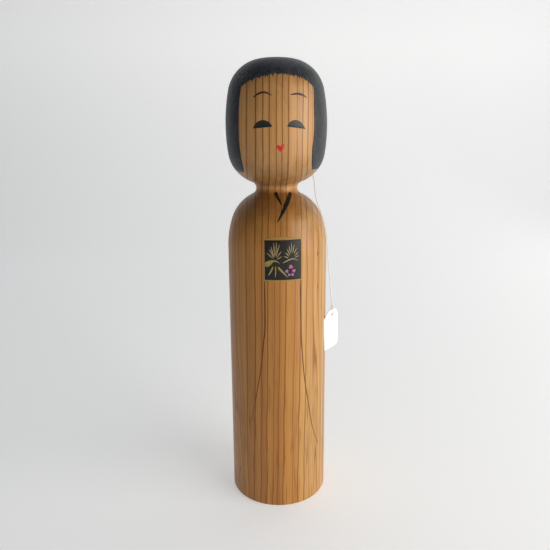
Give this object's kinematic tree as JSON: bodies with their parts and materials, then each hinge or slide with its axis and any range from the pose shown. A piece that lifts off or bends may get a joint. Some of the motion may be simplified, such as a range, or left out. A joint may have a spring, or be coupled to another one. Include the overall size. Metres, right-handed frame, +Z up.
{
  "type": "kokeshi doll",
  "caption": "Tall turned wooden doll with a swivelling round head, a plain cylindrical body, painted hair, face and kimono, and a strung paper swing tag.",
  "frame": {"origin": "centre of the flat underside of the foot, on the surface that the doll stands on", "axes": "+Z up along the lathe axis, the face looks along -Y, +X is to the right of someone who faces the doll"},
  "size_m": [0.0932, 0.0812, 0.3604],
  "materials": {
    "turned_wood": "satin clear varnish over softwood with dark growth lines",
    "black_lacquer": "brushed blue-black lacquer, semi-gloss",
    "maroon_ink": "thin ink under varnish",
    "brown_ink": "thin ink under varnish",
    "red_paint": "satin paint",
    "gold_paint": "satin gold-coloured paint",
    "pale_gold_paint": "satin pale gold paint",
    "olive_gold_paint": "satin olive gold paint",
    "pink_paint": "satin paint, lilac to pink",
    "cotton_thread": "twisted off-white cotton",
    "tag_card": "matt white card"
  },
  "bodies": {
    "torso": {"body": "turned_wood", "left_collar": "brown_ink", "right_collar": "brown_ink", "panel_ground": "black_lacquer", "panel_edge": "gold_paint", "left_pine": "pale_gold_paint", "right_pine": "pale_gold_paint", "pine_leaf": "olive_gold_paint", "pine_branch": "pale_gold_paint", "bamboo_leaves": "olive_gold_paint", "plum_blossom": "pink_paint", "left_sleeve": "brown_ink", "right_sleeve": "brown_ink", "neck_thread": "cotton_thread", "thread_knot": "cotton_thread"},
    "turning_head": {"head": "turned_wood", "hair": "black_lacquer", "left_brow": "maroon_ink", "right_brow": "maroon_ink", "left_eye": "black_lacquer", "right_eye": "black_lacquer", "lips": "red_paint"},
    "swing_tag": {"hanging_thread": "cotton_thread", "tag_loop": "cotton_thread", "tag_card": "tag_card"}
  },
  "joints": [
    {"name": "head_turn", "type": "hinge", "parent": "torso", "child": "turning_head", "pos_m": [0, 0, 0.263], "axis": [0, 0, 1], "continuous": true},
    {"name": "tag_swing", "type": "hinge", "parent": "torso", "child": "swing_tag", "pos_m": [0.0393, -0.0063, 0.2283], "axis": [-0.16, -0.9871, 0], "range_deg": [0, 55]}
  ]
}
